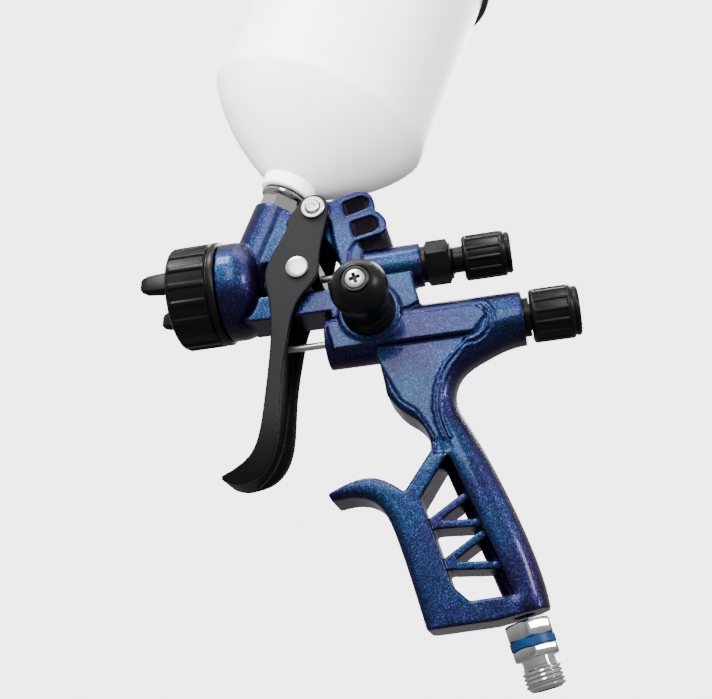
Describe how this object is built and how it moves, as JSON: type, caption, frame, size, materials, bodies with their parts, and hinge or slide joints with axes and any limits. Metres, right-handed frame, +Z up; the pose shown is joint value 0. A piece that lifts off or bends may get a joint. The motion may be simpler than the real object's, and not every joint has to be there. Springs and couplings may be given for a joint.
{
  "type": "hvlp spray gun",
  "caption": "Gravity-feed HVLP spray gun: painted skeleton grip, long trigger, air cap with horns, fluid, air and fan controls, hanging hook and a screw-on paint cup with lid.",
  "frame": {"origin": "middle of the air inlet's outside thread, on its axis", "axes": "+X towards the rear (the painter), +Y to the gun's right-hand side, +Z up, with the needle's axis level"},
  "size_m": [0.1617, 0.094, 0.3315],
  "materials": {
    "paint": "glossy blue-violet metal flake lacquer",
    "trigger_black": "satin black coating",
    "black_anodised": "satin black anodised",
    "grey_metal": "satin",
    "chrome_plate": "polished plate",
    "steel": "satin stainless",
    "brass_part": "turned",
    "blue_band": "gloss",
    "seal": "matt",
    "cup_plastic": "translucent milky",
    "lid_plastic": "satin"
  },
  "bodies": {
    "gun": {"gun_body": "paint", "fluid_nozzle": "steel", "air_distributor": "brass_part", "cap_seal": "seal", "cup_adapter": "chrome_plate", "cup_seal": "seal", "pivot_pin": "steel", "pivot_clips": "steel", "packing_nut": "brass_part", "needle_nut": "black_anodised", "needle_spring": "steel", "valve_bush": "steel", "valve_spring": "steel", "micro_sleeve": "black_anodised", "fan_collar": "black_anodised", "inlet_connector": "chrome_plate", "size_band": "blue_band", "inlet_nut": "chrome_plate"},
    "cap_ring": {"air_cap_ring": "black_anodised"},
    "air_cap": {"air_cap": "black_anodised"},
    "trigger": {"trigger": "trigger_black", "trigger_rivets": "steel"},
    "needle": {"fluid_needle": "steel", "needle_yoke": "trigger_black", "needle_collar": "steel"},
    "valve": {"valve_stem": "steel", "valve_head": "brass_part"},
    "fluid_knob": {"fluid_knob": "black_anodised", "fluid_knob_cap": "black_anodised"},
    "air_knob": {"air_knob": "black_anodised", "air_knob_cap": "black_anodised"},
    "fan_knob": {"fan_spindle": "brass_part", "fan_knob": "black_anodised", "fan_knob_plate": "grey_metal", "fan_screw": "chrome_plate"},
    "cup": {"cup": "cup_plastic", "cup_strainer": "cup_plastic"},
    "lid": {"cup_lid": "lid_plastic", "lid_gasket": "seal"},
    "vent_plug": {"vent_plug": "lid_plastic"}
  },
  "joints": [
    {"name": "cap_ring_turn", "type": "hinge", "parent": "gun", "child": "cap_ring", "pos_m": [-0.11063, 0, 0.15169], "axis": [1, 0, 0], "continuous": true},
    {"name": "air_cap_turn", "type": "hinge", "parent": "gun", "child": "air_cap", "pos_m": [-0.11863, 0, 0.15169], "axis": [1, 0, 0], "continuous": true},
    {"name": "trigger_pull", "type": "hinge", "parent": "gun", "child": "trigger", "pos_m": [-0.06283, 0, 0.17569], "axis": [0, -1, 0], "range_deg": [0, 10], "stiffness_Nm_per_rad": 1.2},
    {"name": "needle_draw", "type": "slide", "parent": "gun", "child": "needle", "axis": [1, 0, 0], "range_m": [0, 0.0048], "deforming": ["needle_spring"]},
    {"name": "valve_open", "type": "slide", "parent": "gun", "child": "valve", "axis": [1, 0, 0], "range_m": [0, 0.0098], "deforming": ["valve_spring"]},
    {"name": "fluid_knob_turn", "type": "hinge", "parent": "gun", "child": "fluid_knob", "pos_m": [-0.00263, 0, 0.15169], "axis": [1, 0, 0], "continuous": true},
    {"name": "air_knob_turn", "type": "hinge", "parent": "gun", "child": "air_knob", "pos_m": [0.01937, 0, 0.12469], "axis": [1, 0, 0], "continuous": true},
    {"name": "fan_knob_turn", "type": "hinge", "parent": "gun", "child": "fan_knob", "pos_m": [-0.04503, -0.028, 0.13129], "axis": [0, -1, 0], "continuous": true},
    {"name": "cup_lift", "type": "slide", "parent": "gun", "child": "cup", "axis": [0.4226, 0, 0.9063], "range_m": [0, 0.03]},
    {"name": "lid_lift", "type": "slide", "parent": "cup", "child": "lid", "axis": [0.4226, 0, 0.9063], "range_m": [0, 0.03]},
    {"name": "vent_lift", "type": "slide", "parent": "lid", "child": "vent_plug", "axis": [0.4226, 0, 0.9063], "range_m": [0, 0.012]}
  ],
  "couplings": [
    {"joint": "needle_draw", "follows": "trigger_pull", "m_per_rad": 0.0265},
    {"joint": "valve_open", "follows": "trigger_pull", "m_per_rad": 0.0552}
  ]
}
